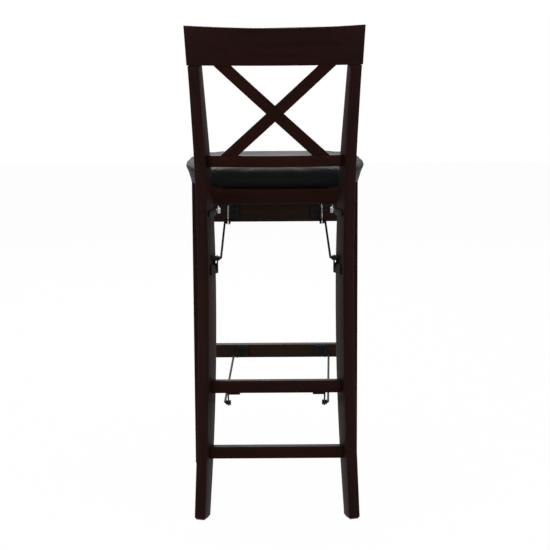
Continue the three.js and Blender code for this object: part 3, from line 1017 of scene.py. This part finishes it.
@dataclass
class Studio:
    """The floor, the soft lights and the camera behind the stool."""

    floor_size: float = 14.0
    floor_grey: float = 0.82
    floor_roughness: float = 0.9
    floor_gloss: float = 0.1
    floor_whiteness: float = 0.97
    world_light: float = 0.36
    aim: Triple = (0.0, 0.0, 0.55)
    lamps: tuple[Lamp, ...] = (
        Lamp("left_box", (2.6, 1.9, 1.6), 1.6, 40.0),
        Lamp("right_box", (-2.6, 1.9, 1.6), 1.6, 34.0),
        Lamp("front_box", (0.4, -3.0, 2.4), 2.2, 48.0),
        Lamp("top_box", (0.0, 0.6, 3.2), 2.0, 40.0),
    )
    lens: float = 118.46
    sensor: float = 36.0
    camera_place: Triple = (0.0110, 4.015, 1.187)
    pitch: float = math.radians(9.686)
    yaw: float = math.radians(-0.138)
    roll: float = math.radians(-0.325)

    def background(self) -> None:
        """White for the camera and for mirror rays, soft grey light for the object."""
        world = bpy.data.worlds.new("studio_world")
        bpy.context.scene.world = world
        world.use_nodes = True
        nodes = Nodes(world.node_tree)
        nodes.tree.nodes.clear()
        white = linear((255, 255, 255))
        light = nodes.add("ShaderNodeBackground", None, {"Color": white, "Strength": self.world_light})
        shown = nodes.add("ShaderNodeBackground", None, {"Color": white, "Strength": 1.0})
        choose = nodes.add("ShaderNodeMixShader", None,
                           {0: nodes.seen(), 1: light.outputs[0], 2: shown.outputs[0]})
        nodes.add("ShaderNodeOutputWorld", None, {"Surface": choose.outputs[0]})

    def floor(self) -> None:
        """A plain white floor that keeps a faint shadow."""
        half = self.floor_size / 2
        corners = [(-half, -half, 0), (half, -half, 0), (half, half, 0), (-half, half, 0)]
        mesh = bpy.data.meshes.new("studio_floor")
        mesh.from_pydata(corners, [], [(0, 1, 2, 3)])
        floor = bpy.data.objects.new("studio_floor", mesh)
        bpy.context.scene.collection.objects.link(floor)
        shader = Shader("studio_floor")
        shader.dress(Base_Color=(self.floor_grey, self.floor_grey, self.floor_grey, 1.0),
                     Roughness=self.floor_roughness, Specular_IOR_Level=self.floor_gloss)
        bright = shader.add("ShaderNodeEmission", None, {"Strength": 1.0})
        share = shader.seen() * self.floor_whiteness
        choose = shader.add("ShaderNodeMixShader", None,
                            {0: share, 1: shader.surface.outputs[0], 2: bright.outputs[0]})
        shader.tree.links.new(choose.outputs[0], shader.output.inputs["Surface"])
        mesh.materials.append(shader.material)

    def camera(self) -> None:
        """Stand the camera where the fit puts the photograph's own."""
        data = bpy.data.cameras.new("photo_camera")
        data.lens = self.lens
        data.sensor_width = self.sensor
        camera = bpy.data.objects.new("photo_camera", data)
        bpy.context.scene.collection.objects.link(camera)
        ahead = Vector((math.sin(self.yaw) * math.cos(self.pitch),
                        -math.cos(self.yaw) * math.cos(self.pitch), -math.sin(self.pitch)))
        level = Vector((-math.cos(self.yaw), -math.sin(self.yaw), 0.0))
        up = level.cross(ahead)
        right = math.cos(self.roll) * level + math.sin(self.roll) * up
        top = math.cos(self.roll) * up - math.sin(self.roll) * level
        turn = Matrix((right, top, -ahead)).transposed()
        camera.matrix_world = Matrix.Translation(self.camera_place) @ turn.to_4x4()
        bpy.context.scene.camera = camera

    def build(self) -> None:
        """Set up the whole studio."""
        bpy.context.scene.view_settings.view_transform = "Standard"
        self.background()
        self.floor()
        for lamp in self.lamps:
            lamp.build(self.aim)
        self.camera()


def main() -> None:
    """Build the studio and dress the stool, sub-assembly by sub-assembly."""
    logging.basicConfig(level=logging.INFO)
    for assembly in (Studio(), RearFrame(), FrontFrame(), SeatFrame(), Cushion(), Hardware(), RodEnds(),
                     Screws()):
        log.info("building %s", type(assembly).__name__)
        assembly.build()


if __name__ == "__main__":
    main()
